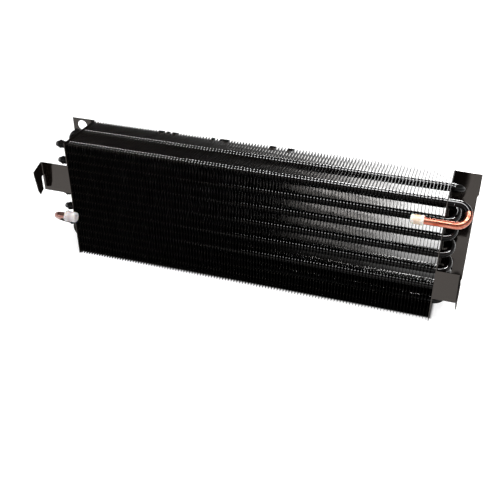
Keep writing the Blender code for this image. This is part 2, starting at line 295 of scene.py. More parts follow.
@dataclass(frozen=True)
class CoatedFin:
    """Thin black-coated aluminium: each side mirrors grazing light along the gap, each edge is dull black."""

    low: Vector
    high: Vector
    name: str = "black_coated_fin"
    side: str = "#b6b4b2"
    worn: str = "#a29f9d"
    edge: str = "#010101"
    # Painted highlight: a lighter colour on the ridge crests, standing in for the light they catch.
    crest_highlight: str = "#3a3633"
    smooth: float = 0.03
    rough: float = 0.07
    edge_rough: float = 0.3
    edge_shine: float = 0.2
    top_shine: float = 0.6
    index: float = 1.2
    ridge_pitch_mm: float = 12.7
    ridge_start_mm: float = 2.2
    ridge_mm: float = 0.8
    bead_mm: float = 4.5
    bead_fade_mm: float = 0.4

    def off_the_rim(self, tree: Tree, place: Outputs) -> Socket:
        """Adds the mask for the middle of a fin, inside the thick bead of paint along its rim.

        Args:
            tree: The material's node tree.
            place: The place on the stack as X, Y and Z.

        Returns:
            One in the middle and zero along the rim.
        """
        steps = []
        for axis, near, far in (("Y", self.low.y, self.high.y), ("Z", self.low.z, self.high.z)):
            shift = {0: place[axis], 1: (near + far) / 2}
            away = add_node(tree, "ShaderNodeMath", shift, operation="SUBTRACT")[0]
            away = add_node(tree, "ShaderNodeMath", {0: away}, operation="ABSOLUTE")[0]
            rim = (far - near) / 2 - self.bead_mm * MM
            fade = span(rim - self.bead_fade_mm * MM, rim, 1.0, 0.0)
            steps.append(add_node(tree, "ShaderNodeMapRange", {"Value": away, **fade})[0])
        return add_node(tree, "ShaderNodeMath", {0: steps[0], 1: steps[1]}, operation="MULTIPLY")[0]

    def ridges(self, tree: Tree, place: Outputs) -> Socket:
        """Adds the mask for the crests of the fin's ridges, where a lighter colour is painted as the
        highlight they catch.

        Args:
            tree: The material's node tree.
            place: The place on the stack as X, Y and Z.

        Returns:
            One on each crest, two of them to each row of tubes.
        """
        top = self.high.z - self.ridge_start_mm * MM
        down = add_node(tree, "ShaderNodeMath", {0: top, 1: place["Z"]}, operation="SUBTRACT")[0]
        fold = {0: down, 1: self.ridge_pitch_mm * MM / 2}
        away = add_node(tree, "ShaderNodeMath", fold, operation="PINGPONG")[0]
        half = self.ridge_mm * MM / 2
        return add_node(tree, "ShaderNodeMapRange", {"Value": away, **span(half, 2 * half, 1.0, 0.0)})[0]

    def material(self) -> Material:
        """Builds the coat: a thin film over the metal on the sides, a thick bead of paint on the edges."""
        tree, shader, made = new_material(self.name)
        streaks = blotches(tree, (9, 2.2, 30), 4.0)
        facing = parts_of(tree, "ShaderNodeNewGeometry", "True Normal")
        place = parts_of(tree, "ShaderNodeTexCoord", "Object")
        turned = add_node(tree, "ShaderNodeMath", {0: facing["X"]}, operation="ABSOLUTE")[0]
        side = add_node(tree, "ShaderNodeMath", {0: turned, 1: 0.7}, operation="GREATER_THAN")[0]
        inner = {0: side, 1: self.off_the_rim(tree, place)}
        flat = add_node(tree, "ShaderNodeMath", inner, operation="MULTIPLY")[0]
        # The edges and the rim get the lighter colour on each crest: a painted highlight, two bands to each
        # row of tubes.
        crest = {"Factor": self.ridges(tree, place), 6: linear(self.edge), 7: linear(self.crest_highlight)}
        bead = add_node(tree, "ShaderNodeMix", crest, data_type="RGBA")[2]
        layers = {"Factor": flat, 6: bead, 7: blended(tree, streaks, self.side, self.worn, 0.4, 0.75)}
        uneven = {"Value": streaks, **span(*NOISE_RANGE, self.smooth, self.rough)}
        gloss = {"Factor": flat, 2: self.edge_rough, 3: add_node(tree, "ShaderNodeMapRange", uneven)[0]}
        # Faces that point up get more gloss than the rest, so the fins' top edges glint more than the light
        # alone makes them: a painted highlight.
        shine = {"Value": facing["Z"], **span(0.5, 0.9, self.edge_shine, self.top_shine)}
        looks = {
            "Base Color": add_node(tree, "ShaderNodeMix", layers, data_type="RGBA")[2],
            "Roughness": add_node(tree, "ShaderNodeMix", gloss, data_type="FLOAT")[0],
            "Metallic": flat,
            "Specular IOR Level": add_node(tree, "ShaderNodeMapRange", shine)[0],
            "IOR": self.index,
        }
        fill(tree, shader, looks)
        return made


@dataclass(frozen=True)
class CoatedTube:
    """Copper tube under the same black dip: smooth and glossy, with runs along its length."""

    name: str = "black_dipped_tube"
    colour: str = "#050404"
    thin: str = "#110b09"
    smooth: float = 0.04
    rough: float = 0.1
    index: float = 1.5
    ripple_depth_mm: float = 0.05
    top_shine: float = 0.9
    under_shine: float = 0.05

    def material(self) -> Material:
        """Builds the dip: brown where it has run thin, glossy on top and dull underneath, which paints a
        highlight on top and shade underneath.
        """
        tree, shader, made = new_material(self.name)
        runs = blotches(tree, (14, 5, 5), 3.0)
        waves = blotches(tree, (5, 2.5, 2.5), 2.0)
        ripple = {"Height": waves, "Distance": self.ripple_depth_mm * MM, "Strength": 0.6}
        uneven = {"Value": runs, **span(*NOISE_RANGE, self.smooth, self.rough)}
        up = parts_of(tree, "ShaderNodeNewGeometry", "Normal")["Z"]
        # Gloss rises as the surface turns upward: a painted highlight on the tops and painted shade on the
        # undersides.
        glossier_on_top = {"Value": up, **span(0.15, 0.6, self.under_shine, self.top_shine)}
        looks = {
            "Base Color": blended(tree, runs, self.colour, self.thin, 0.5, 0.75),
            "Roughness": add_node(tree, "ShaderNodeMapRange", uneven)[0],
            "Normal": add_node(tree, "ShaderNodeBump", ripple)["Normal"],
            "Specular IOR Level": add_node(tree, "ShaderNodeMapRange", glossier_on_top)[0],
            "IOR": self.index,
        }
        fill(tree, shader, looks)
        return made


@dataclass(frozen=True)
class BareCopper:
    """Drawn copper left bare: pinkish orange, brighter where handled and browner in stains."""

    name: str = "drawn_copper"
    bright: str = "#cb8d79"
    body: str = "#98422c"
    stain: str = "#481a11"
    smooth: float = 0.24
    rough: float = 0.38

    def material(self) -> Material:
        """Builds the metal from long draw streaks with brown stains over them."""
        tree, shader, made = new_material(self.name)
        streaks = blotches(tree, (16, 1.6, 1.6), 3.0)
        clean = blended(tree, streaks, self.body, self.bright, 0.35, 0.7)
        spots = blotches(tree, (7, 4, 4), 4.0)
        amount = add_node(tree, "ShaderNodeMapRange", {"Value": spots, **span(0.55, 0.75, 0.0, 0.7)})[0]
        stained = {"Factor": amount, 6: clean, 7: linear(self.stain)}
        uneven = {"Value": spots, **span(*NOISE_RANGE, self.smooth, self.rough)}
        looks = {
            "Base Color": add_node(tree, "ShaderNodeMix", stained, data_type="RGBA")[2],
            "Roughness": add_node(tree, "ShaderNodeMapRange", uneven)[0],
            "Metallic": 1.0,
        }
        fill(tree, shader, looks)
        return made


@dataclass(frozen=True)
class CapVinyl:
    """Soft moulded vinyl: cream white and slightly clear, so the copper behind it warms its middle."""

    name: str = "moulded_vinyl"
    colour: str = "#fbf4ea"
    warm: str = "#f6d8c0"
    centre: Triple = (0.0, 0.0, 0.0)
    near_mm: float = 5.6
    far_mm: float = 9.5
    smooth: float = 0.3
    rough: float = 0.45

    def material(self) -> Material:
        """Builds the vinyl with a warm spot round the tube's hidden end."""
        tree, shader, made = new_material(self.name)
        place = add_node(tree, "ShaderNodeTexCoord")["Object"]
        away = {0: place, 1: self.centre}
        reach = add_node(tree, "ShaderNodeVectorMath", away, operation="DISTANCE")["Value"]
        fade = {"Value": reach, **span(self.near_mm * MM, self.far_mm * MM)}
        near = add_node(tree, "ShaderNodeMapRange", fade, interpolation_type="SMOOTHSTEP")[0]
        uneven = {"Value": blotches(tree, (3, 3, 3), 2.0), **span(*NOISE_RANGE, self.smooth, self.rough)}
        looks = {
            "Base Color": blended(tree, near, self.warm, self.colour, 0.1, 0.9),
            "Roughness": add_node(tree, "ShaderNodeMapRange", uneven)[0],
            "Subsurface Weight": 0.4,
            "Subsurface Radius": (0.004, 0.003, 0.002),
        }
        fill(tree, shader, looks)
        return made


# ---------------------------------------------------------------- mesh helpers


def ring(centre: Point, radius: float, sides: int) -> list[Point]:
    """Lists the corners of a regular ring, the first one straight along the first axis.

    Args:
        centre: The ring's middle.
        radius: The distance from the middle to each corner.
        sides: How many corners.

    Returns:
        The corners as pairs.
    """
    turns = (2 * math.pi * i / sides for i in range(sides))
    return [(centre[0] + radius * math.cos(a), centre[1] + radius * math.sin(a)) for a in turns]


def add_prism(mesh: bmesh.types.BMesh, outline: list[Point], low: float, high: float, axis: str) -> None:
    """Adds a closed prism to a mesh.

    Args:
        mesh: The mesh under construction.
        outline: The prism's corners, as pairs in the plane across its axis.
        low: Where the prism starts along its axis.
        high: Where it ends.
        axis: X, Y or Z.
    """
    at = "XYZ".index(axis)
    rows = [[mesh.verts.new((*p[:at], depth, *p[at:])) for p in outline] for depth in (low, high)]
    count = len(outline)
    faces = [mesh.faces.new(row) for row in rows]
    for i in range(count):
        j = (i + 1) % count
        faces.append(mesh.faces.new((rows[0][i], rows[0][j], rows[1][j], rows[1][i])))
    bmesh.ops.recalc_face_normals(mesh, faces=faces)


def add_turned(mesh: bmesh.types.BMesh, profile: list[Point], centre: Point, sides: int) -> None:
    """Adds a closed shape turned about a line along X.

    Args:
        mesh: The mesh under construction.
        profile: Its outline from end to end, as X and radius.
        centre: The line's Y and Z.
        sides: How many sides it has.
    """
    rows = [[mesh.verts.new((x, y, z)) for y, z in ring(centre, radius, sides)] for x, radius in profile]
    faces = [mesh.faces.new(rows[0]), mesh.faces.new(rows[-1])]
    for first, second in zip(rows, rows[1:]):
        for i in range(sides):
            j = (i + 1) % sides
            faces.append(mesh.faces.new((first[i], first[j], second[j], second[i])))
    bmesh.ops.recalc_face_normals(mesh, faces=faces)


def object_from(name: str, mesh: bmesh.types.BMesh) -> Piece:
    """Turns a mesh under construction into an object at the origin.

    Args:
        name: The object's name.
        mesh: The finished mesh, which is freed.

    Returns:
        The object.
    """
    data = bpy.data.meshes.new(name)
    mesh.to_mesh(data)
    mesh.free()
    made = bpy.data.objects.new(name, data)
    bpy.context.scene.collection.objects.link(made)
    return made


def settled(obj: Piece) -> Piece:
    """Turns an object's modifiers into its plain mesh.

    Args:
        obj: An object with modifiers.

    Returns:
        The same object, with none left.
    """
    bpy.context.view_layer.update()
    graph = bpy.context.evaluated_depsgraph_get()
    data = bpy.data.meshes.new_from_object(obj.evaluated_get(graph))
    old = obj.data
    obj.modifiers.clear()
    obj.data = data
    bpy.data.meshes.remove(old)
    data.name = obj.name
    return obj


def joined(target: Piece, others: list[Piece], how: Joining) -> Piece:
    """Puts solids together and removes the ones that were used up.

    Args:
        target: The solid that stays.
        others: The solids that it is joined with or cut by.
        how: The way they meet.

    Returns:
        The target with its new mesh.
    """
    for other in others:
        step = target.modifiers.new(how.value.lower(), "BOOLEAN")
        step.operation = how.value
        step.solver = "EXACT"
        step.object = other
    settled(target)
    for other in others:
        bpy.data.objects.remove(other)
    return target


def eased(obj: Piece, width: float, segments: int = 2) -> Piece:
    """Rounds an object's sharp edges, as a press or a brush coat leaves them.

    Args:
        obj: The object.
        width: How far the rounding reaches from each edge.
        segments: How many steps the rounding has.

    Returns:
        The same object with its rounded mesh.
    """
    bevel = obj.modifiers.new("eased", "BEVEL")
    bevel.width = width
    bevel.segments = segments
    bevel.limit_method = "ANGLE"
    bevel.angle_limit = math.radians(40)
    bevel.use_clamp_overlap = True
    return settled(obj)


def shaded(obj: Piece, angle: float = 35.0) -> Piece:
    """Shades an object smooth, apart from its sharp edges.

    Args:
        obj: The object.
        angle: The angle in degrees above which an edge stays sharp.

    Returns:
        The same object.
    """
    obj.data.shade_smooth()
    obj.data.set_sharp_from_angle(angle=math.radians(angle))
    return obj


def flattened(obj: Piece) -> Piece:
    """Makes large flat faces keep their own normals beside rounded edges, so that they mirror true.

    Args:
        obj: An object that is shaded smooth.

    Returns:
        The same object with weighted normals.
    """
    weigh = obj.modifiers.new("flattened", "WEIGHTED_NORMAL")
    weigh.keep_sharp = True
    weigh.weight = 100
    return settled(obj)


def dress(obj: Piece, material: Material, nodes: list[str]) -> Piece:
    """Gives a piece its finish, puts it on the coil's body and lets it stand for its solids.

    Args:
        obj: The finished piece.
        material: Its finish.
        nodes: The solids that it stands for.

    Returns:
        The same piece.
    """
    obj.data.materials.clear()
    obj.data.materials.append(material)
    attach(obj, "root")
    if nodes:
        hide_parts(*nodes)
    LOG.info("%s: %d faces for %s", obj.name, len(obj.data.polygons), ", ".join(nodes) or "detail")
    return obj


# ---------------------------------------------------------------- geometry node trees


class NodeMould:
    """A geometry node tree with named inputs, which is run once on a mesh and then taken off."""

    def __init__(self, name: str, sockets: dict[str, tuple[str, float]]) -> None:
        """Starts the tree.

        Args:
            name: The tree's name.
            sockets: Input names, each with its socket type and its first value.
        """
        self.tree = bpy.data.node_groups.new(name, "GeometryNodeTree")
        face = self.tree.interface
        face.new_socket("Geometry", in_out="INPUT", socket_type="NodeSocketGeometry")
        for title, (kind, value) in sockets.items():
            face.new_socket(title, in_out="INPUT", socket_type=kind).default_value = value
        face.new_socket("Finish", in_out="INPUT", socket_type="NodeSocketMaterial")
        face.new_socket("Geometry", in_out="OUTPUT", socket_type="NodeSocketGeometry")
        self.start = add_node(self.tree, "NodeGroupInput")

    def close(self, geometry: Socket) -> None:
        """Ends the tree with real geometry in one finish.

        Args:
            geometry: The geometry to hand out.
        """
        real = add_node(self.tree, "GeometryNodeRealizeInstances", {"Geometry": geometry})[0]
        coat = {"Geometry": real, "Material": self.start["Finish"]}
        coated = add_node(self.tree, "GeometryNodeSetMaterial", coat)[0]
        add_node(self.tree, "NodeGroupOutput", {"Geometry": coated})

    def run(self, obj: Piece, values: dict[str, float], finish: Material) -> Piece:
        """Runs the tree on an object's mesh.

        Args:
            obj: The object whose mesh goes in.
            values: Input names with their values.
            finish: The material that the tree sets.

        Returns:
            The same object with the tree's mesh.
        """
        modifier = obj.modifiers.new(self.tree.name, "NODES")
        modifier.node_group = self.tree
        known = {s.name: s.identifier for s in self.tree.interface.items_tree if s.in_out == "INPUT"}
        for title, value in {**values, "Finish": finish}.items():
            modifier[known[title]] = value
        return settled(obj)


def row_mould() -> NodeMould:
    """Builds the tree that repeats a pressed shape along X, each copy a hair off true.

    Returns:
        The tree, with its count, pitch, play, lean and seed as inputs.
    """
    sockets = {
        "Count": ("NodeSocketInt", 2),
        "Pitch": ("NodeSocketFloat", 1.0),
        "Play": ("NodeSocketFloat", 0.0),
        "Lean": ("NodeSocketFloat", 0.0),
        "Seed": ("NodeSocketInt", 0),
    }
    mould = NodeMould("pressed_row", sockets)
    tree, start = mould.tree, mould.start
    step = add_node(tree, "ShaderNodeCombineXYZ", {"X": start["Pitch"]})[0]
    line = add_node(tree, "GeometryNodeMeshLine", {"Count": start["Count"], "Offset": step})[0]
    next_seed = add_node(tree, "ShaderNodeMath", {0: start["Seed"], 1: 1.0}, operation="ADD")[0]
    faults = []
    for most, axis, seed in ((start["Play"], "X", start["Seed"]), (start["Lean"], "Z", next_seed)):
        least = add_node(tree, "ShaderNodeMath", {0: most, 1: -1.0}, operation="MULTIPLY")[0]
        limits = {2: least, 3: most, "Seed": seed}
        chance = add_node(tree, "FunctionNodeRandomValue", limits, data_type="FLOAT")[1]
        faults.append(add_node(tree, "ShaderNodeCombineXYZ", {axis: chance})[0])
    moved = add_node(tree, "GeometryNodeSetPosition", {"Geometry": line, "Offset": faults[0]})[0]
    copies = {"Points": moved, "Instance": start["Geometry"], "Rotation": faults[1]}
    mould.close(add_node(tree, "GeometryNodeInstanceOnPoints", copies)[0])
    return mould


def tube_mould() -> NodeMould:
    """Builds the tree that runs a round tube along a path of edges.

    Returns:
        The tree, with its radius and sides as inputs.
    """
    mould = NodeMould("round_tube", {"Radius": ("NodeSocketFloat", 0.005), "Sides": ("NodeSocketInt", 24)})
    tree, start = mould.tree, mould.start
    path = add_node(tree, "GeometryNodeMeshToCurve", {"Mesh": start["Geometry"]})[0]
    size = {"Resolution": start["Sides"], "Radius": start["Radius"]}
    section = add_node(tree, "GeometryNodeCurvePrimitiveCircle", size)[0]
    swept = {"Curve": path, "Profile Curve": section, "Fill Caps": True}
    mould.close(add_node(tree, "GeometryNodeCurveToMesh", swept)[0])
    return mould


def sleeve_mould() -> NodeMould:
    """Builds the tree that slips a short sleeve with a bead of solder over each joint.

    Returns:
        The tree, with the sleeve's and the bead's sizes as inputs.
    """
    titles = {"Radius": 0.006, "Length": 0.006, "Bead": 0.0008}
    sockets = {title: ("NodeSocketFloat", value) for title, value in titles.items()}
    mould = NodeMould("brazed_sleeves", sockets)
    tree, start = mould.tree, mould.start
    wide = add_node(tree, "ShaderNodeMath", {0: start["Radius"], 1: start["Bead"]}, operation="ADD")[0]
    deep = add_node(tree, "ShaderNodeMath", {0: start["Bead"], 1: 2.0}, operation="MULTIPLY")[0]
    cup, lip = (
        add_node(tree, "GeometryNodeMeshCylinder", {"Vertices": 20, "Radius": radius, "Depth": depth})[0]
        for radius, depth in ((start["Radius"], start["Length"]), (wide, deep))
    )
    half = add_node(tree, "ShaderNodeMath", {0: start["Length"], 1: 0.5}, operation="MULTIPLY")[0]
    down = add_node(tree, "ShaderNodeCombineXYZ", {"Z": half})[0]
    rim = add_node(tree, "GeometryNodeTransform", {"Geometry": lip, "Translation": down})[0]
    both = add_node(tree, "GeometryNodeJoinGeometry", {"Geometry": [cup, rim]})[0]
    turned = {"Geometry": both, "Rotation": (0.0, -math.pi / 2, 0.0)}
    along = add_node(tree, "GeometryNodeTransform", turned)[0]
    copies = {"Points": start["Geometry"], "Instance": along}
    mould.close(add_node(tree, "GeometryNodeInstanceOnPoints", copies)[0])
    return mould


# ---------------------------------------------------------------- the coil


@dataclass
class Pattern:
    """Where the tubes go through the fins, counted by column from the front and by row from the top."""

    low: Vector
    high: Vector
    columns: int = 4
    rows: int = 7
    row_pitch: float = 25.4 * MM
    column_pitch: float = 22.0 * MM
    front_margin: float = 11.0 * MM
    top_margin: float = 7.0 * MM
    tube_radius: float = 4.76 * MM
    plate_gap: float = 2.05 * MM
    sheet: float = 1.2 * MM
    empty: Place = (0, 6)
    inlet: Place = (0, 0)
    outlet: Place = (0, 5)

    def centre(self, place: Place) -> Point:
        """Gives one tube's Y and Z."""
        column, row = place
        stagger = self.row_pitch / 2 if column % 2 else 0.0
        y = self.low.y + self.front_margin + column * self.column_pitch
        z = self.high.z - self.top_margin - row * self.row_pitch - stagger
        return y, z

    def plate_face(self, end: End, depth: float = 0.0) -> float:
        """Gives the X of an end plate's inner face, or of a plane at a depth outward from it."""
        reach = self.high.x if end is End.RIGHT else self.low.x
        return reach + end.value * (self.plate_gap + depth)

    def places(self) -> list[Place]:
        """Lists every place that holds a tube."""
        every = [(c, r) for c in range(self.columns) for r in range(self.rows)]
        return [place for place in every if place != self.empty]

    def hairpins(self) -> list[tuple[Place, Place]]:
        """Lists the pairs of tubes that each bent hairpin fills, in the order of the solids."""
        pairs = [((1, row), (0, row + 1)) for row in range(4)]
        pairs += [((1, 4), (2, 5)), ((2, 4), (2, 3)), ((2, 2), (2, 1)), ((2, 0), (3, 0))]
        pairs += [((3, row), (3, row + 1)) for row in (1, 3, 5)]
        return pairs + [((2, 6), (1, 6)), ((1, 5), (0, 5))]

    def returns(self) -> list[tuple[Place, Place]]:
        """Lists the pairs of tubes that each brazed return bend joins, in the order of the solids."""
        pairs = [((0, row), (1, row)) for row in range(5)]
        pairs += [((2, row), (2, row + 1)) for row in (0, 2, 4)]
        pairs += [((3, row), (3, row + 1)) for row in (0, 2, 4)]
        return pairs + [((3, 6), (2, 6)), ((1, 6), (1, 5))]


@dataclass
class FinStack:
    """The pressed fins with their rippled edges, and the collars that space them on the tubes."""

    pattern: Pattern
    count: int = 121
    pitch: float = 4.405 * MM
    thickness: float = 0.45 * MM
    ripple: float = 0.08 * MM
    ripple_length: float = 12.7 * MM
    steps_per_ripple: int = 4
    strips: int = 5
    play: float = 0.04 * MM
    lean: float = 0.0008
    seed: int = 11
    collar_wall: float = 0.45 * MM
    collar_length: float = 3.8 * MM
    collar_flare: float = 0.7 * MM
    collar_flare_depth: float = 1.1 * MM
    collar_sides: int = 14
    bent_spans: tuple[tuple[float, float], ...] = (
        (-0.156, -0.122),
        (-0.070, -0.046),
        (0.017, 0.026),
        (0.044, 0.053),
    )
    unbent_share: float = 0.2

    def fin(self) -> Piece:
        """Builds one fin at the stack's left end, rippled along its height.

        Returns:
            The fin, a closed plate.
        """
        low, high = self.pattern.low, self.pattern.high
        mesh = bmesh.new()
        rows = round((high.z - low.z) / self.ripple_length * self.steps_per_ripple)
        grids = []
        for side in (-0.5, 0.5):
            grid = []
            for i in range(rows + 1):
                z = low.z + (high.z - low.z) * i / rows
                wave = self.ripple * math.sin(2 * math.pi * (high.z - z) / (2 * self.ripple_length))
                x = low.x + self.thickness * (0.5 + side) + wave
                ys = [low.y + (high.y - low.y) * j / self.strips for j in range(self.strips + 1)]
                grid.append([mesh.verts.new((x, y, z)) for y in ys])
            grids.append(grid)
        for grid in grids:
            for i in range(rows):
                for j in range(self.strips):
                    mesh.faces.new((grid[i][j], grid[i + 1][j], grid[i + 1][j + 1], grid[i][j + 1]))
        first, second = grids
        rim = [(i, 0) for i in range(rows)] + [(rows, j) for j in range(self.strips)]
        rim += [(rows - i, self.strips) for i in range(rows)]
        rim += [(0, self.strips - j) for j in range(self.strips)]
        for (a, b), (c, d) in zip(rim, rim[1:] + rim[:1]):
            mesh.faces.new((first[a][b], first[c][d], second[c][d], second[a][b]))
        bmesh.ops.recalc_face_normals(mesh, faces=mesh.faces)
        return object_from("fins", mesh)

    def collars(self, column: int) -> Piece:
        """Builds the collars that the first fin wears round one column of tubes.

        Args:
            column: The column, counted from the front.

        Returns:
            The collars, each a closed plug that flares where it is drawn from the fin.
        """
        mesh = bmesh.new()
        start = self.pattern.low.x + self.thickness
        body = self.pattern.tube_radius + self.collar_wall
        flare, depth = self.collar_flare, self.collar_flare_depth
        profile = [(0.0, flare), (0.35 * depth, 0.3 * flare), (depth, 0.0), (self.collar_length, 0.0)]
        outline = [(start + x, body + extra) for x, extra in profile]
        for place in self.pattern.places():
            if place[0] == column:
                add_turned(mesh, outline, self.pattern.centre(place), self.collar_sides)
        return object_from(f"fin_collars_{column + 1}", mesh)

    def bent_corners(self) -> Piece:
        """Builds the fin corners that handling has bent over, in a few clumps along the back of the top.

        Returns:
            The corners, each a thin sloping tab from one fin to the next.
        """
        chance = random.Random(self.seed)
        mesh = bmesh.new()
        left, back, top = self.pattern.low.x, self.pattern.high.y, self.pattern.high.z
        tab = 0.5 * MM
        for span_ends in self.bent_spans:
            first, last = (round((x - left) / self.pitch) for x in span_ends)
            for number in range(first, last):
                if chance.random() < self.unbent_share:
                    continue
                x = left + number * self.pitch
                reach, drop = chance.uniform(5.0, 11.0) * MM, chance.uniform(0.8, 3.0) * MM
                tip, height = back - reach, top - drop
                slope = [(back, top - tab), (back, top - 2 * tab), (tip, height - tab), (tip, height)]
                add_prism(mesh, slope, x, x + self.pitch, "X")
        return object_from("bent_fin_corners", mesh)

    def build(self, mould: NodeMould, finish: Material, dip: Material) -> None:
        """Makes and dresses the whole stack.

        Args:
            mould: The tree that repeats a shape along X.
            finish: The fins' coating.
            dip: The collars' coating, which is the tubes' own.
        """
        values = {"Count": self.count, "Pitch": self.pitch, "Seed": self.seed}
        fins = mould.run(self.fin(), {**values, "Play": self.play, "Lean": self.lean}, finish)
        dress(shaded(fins), finish, ["fin_stack"])
        still = {**values, "Count": self.count - 1, "Play": 0.0, "Lean": 0.0}
        for column in range(self.pattern.columns):
            collars = mould.run(self.collars(column), still, dip)
            dress(shaded(collars, 50.0), dip, [])
        dress(self.bent_corners(), finish, [])


@dataclass
class TubeCircuit:
    """Every coated tube: the hairpins, the brazed return bends and the inlet's straight leg."""

    pattern: Pattern
    left_end: float
    bend_lead: float = 0.6 * MM
    gap: float = 0.3 * MM
    sides: int = 24
    bend_steps: int = 16
    sleeve_radius: float = 5.6 * MM
    sleeve_length: float = 4.0 * MM
    sleeve_shift: float = 0.4
    bead: float = 0.6 * MM

    def half_turn(self, start: Point, end: Point, side: End, x: float) -> list[Vector]:
        """Lists points round half a circle between two tubes.

        Args:
            start: The first tube's Y and Z.
            end: The second tube's Y and Z.
            side: The side that the bend bulges to.
            x: Where the bend leaves the straight legs.

        Returns:
            The points in order.
        """
        first, last = Vector((x, *start)), Vector((x, *end))
        middle, arm = (first + last) / 2, (first - last) / 2
        reach = Vector((side.value * arm.length, 0.0, 0.0))
        turns = (math.pi * i / self.bend_steps for i in range(self.bend_steps + 1))
        return [middle + arm * math.cos(a) + reach * math.sin(a) for a in turns]

    def tube(self, name: str, points: list[Vector], mould: NodeMould, finish: Material) -> Piece:
        """Runs a round tube along a path.

        Args:
            name: The piece's name.
            points: The path.
            mould: The tree that runs a tube along a path.
            finish: The tube's finish.

        Returns:
            The tube.
        """
        mesh = bmesh.new()
        verts = [mesh.verts.new(point) for point in points]
        for first, second in zip(verts, verts[1:]):
            mesh.edges.new((first, second))
        obj = object_from(name, mesh)
        return mould.run(obj, {"Radius": self.pattern.tube_radius, "Sides": self.sides}, finish)

    def build(self, mould: NodeMould, sleeves: NodeMould, finish: Material, glossier_on_top: Material) -> None:
        """Makes and dresses the coated tubes.

        Args:
            mould: The tree that runs a tube along a path.
            sleeves: The tree that slips a sleeve over each joint.
            finish: The coating.
            glossier_on_top: The coating of the brazed bends, with still more gloss on top as a painted
                highlight.
        """
        centre = self.pattern.centre
        bend_x = self.pattern.plate_face(End.RIGHT, self.pattern.sheet + self.bend_lead)
        for number, (first, last) in enumerate(self.pattern.hairpins(), 1):
            turn = self.half_turn(centre(first), centre(last), End.RIGHT, bend_x)
            ends = [Vector((self.left_end, *centre(place))) for place in (first, last)]
            points = [ends[0], *turn, ends[1]]
            piece = self.tube(f"coated_hairpin_{number:02d}", points, mould, finish)
            dress(shaded(piece), finish, [f"hairpin_{number:02d}"])
        start = self.left_end - self.gap
        sleeve_x = start - self.sleeve_shift * self.sleeve_length
        joints = bmesh.new()
        for number, (first, last) in enumerate(self.pattern.returns(), 1):
            turn = self.half_turn(centre(first), centre(last), End.LEFT, start)
            piece = self.tube(f"coated_return_{number:02d}", turn, mould, glossier_on_top)
            dress(shaded(piece), glossier_on_top, [f"return_bend_{number:02d}"])
            for place in (first, last):
                joints.verts.new((sleeve_x, *centre(place)))
        joints.verts.new((sleeve_x, *centre(self.pattern.outlet)))
        values = {"Radius": self.sleeve_radius, "Length": self.sleeve_length, "Bead": self.bead}
        cups = sleeves.run(object_from("brazed_sleeves", joints), values, glossier_on_top)
        dress(shaded(cups), glossier_on_top, [])
        low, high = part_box("inlet_leg")
        leg = [Vector((x, *centre(self.pattern.inlet))) for x in (low.x, high.x)]
        piece = self.tube("coated_inlet_leg", leg, mould, finish)
        dress(shaded(piece), finish, ["inlet_leg"])


@dataclass
class Connection:
    """One bare copper tube that turns back in front of the fins and ends in a vinyl cap."""

    name: str
    circuit: TubeCircuit
    place: Place
    side: End
    copper: BareCopper
    vinyl: CapVinyl
    turn_reach: float = 13.2 * MM
    cap_radius: float = 8.5 * MM
    cap_round: float = 2.6 * MM
    cap_lip: float = 0.7 * MM
    cap_lip_length: float = 2.4 * MM
    cap_sides: int = 40
    tube_depth: float = 2.5 * MM
    coated_share: float = 0.0

    def cap_profile(self, mouth: float, closed: float) -> list[Point]:
        """Lists the cap's outline from its mouth to its middle, as X and radius.

        Args:
            mouth: The X of its open rim.
            closed: The X of its closed end.

        Returns:
            The profile's points.
        """
        way = 1.0 if closed > mouth else -1.0
        bore = self.circuit.pattern.tube_radius + 0.1 * MM
        full, body, lip = self.cap_radius, self.cap_radius - self.cap_lip, self.cap_lip_length
        points = [(mouth, bore), (mouth, full - 0.4 * MM), (mouth + way * 0.4 * MM, full)]
        points += [(mouth + way * lip, full), (mouth + way * (lip + 0.8 * MM), body)]
        corner = closed - way * self.cap_round
        for i in range(1, 7):
            turn = math.pi / 2 * i / 6
            x = corner + way * self.cap_round * math.sin(turn)
            points.append((x, body - self.cap_round * (1 - math.cos(turn))))
        points.append((closed - way * 0.5 * MM, 2.0 * MM))
        return points

    def build(self, mould: NodeMould, coating: Material) -> None:
        """Makes and dresses the tube and its cap.

        Args:
            mould: The tree that runs a tube along a path.
            coating: The coated tubes' finish.
        """
        low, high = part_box(f"{self.name}_tube")
        cap_low, cap_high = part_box(f"{self.name}_cap")
        pattern = self.circuit.pattern
        start = pattern.centre(self.place)
        end = ((cap_low.y + cap_high.y) / 2, (cap_low.z + cap_high.z) / 2)
        bend_x = pattern.plate_face(self.side, pattern.sheet + self.turn_reach)
        tip_x = low.x if self.side is End.RIGHT else high.x
        turn = self.circuit.half_turn(start, end, self.side, bend_x)
        points = [Vector((self.joint(), *start)), *turn, Vector((tip_x, *end))]
        split = 1 + round(self.coated_share * self.circuit.bend_steps)
        copper = self.copper.material()
        tube = self.circuit.tube(f"copper_{self.name}", points[split:], mould, copper)
        dress(shaded(tube), copper, [f"{self.name}_tube"])
        coated = self.circuit.tube(f"coated_{self.name}", points[: split + 1], mould, coating)
        dress(shaded(coated), coating, [])
        mouth, closed = (cap_high.x, cap_low.x) if self.side is End.RIGHT else (cap_low.x, cap_high.x)
        mesh = bmesh.new()
        add_turned(mesh, self.cap_profile(mouth, closed), end, self.cap_sides)
        inside = tip_x + self.side.value * self.tube_depth
        vinyl = replace(self.vinyl, name=f"{self.vinyl.name}_{self.name}", centre=(inside, *end)).material()
        cap = object_from(f"{self.name}_vinyl_cap", mesh)
        dress(shaded(cap), vinyl, [f"{self.name}_cap"])

    def joint(self) -> float:
        """Gives the X where the tube meets the coil's own leg."""
        if self.side is End.LEFT:
            return self.circuit.left_end - self.circuit.gap
        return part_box("inlet_leg")[1].x + self.circuit.gap


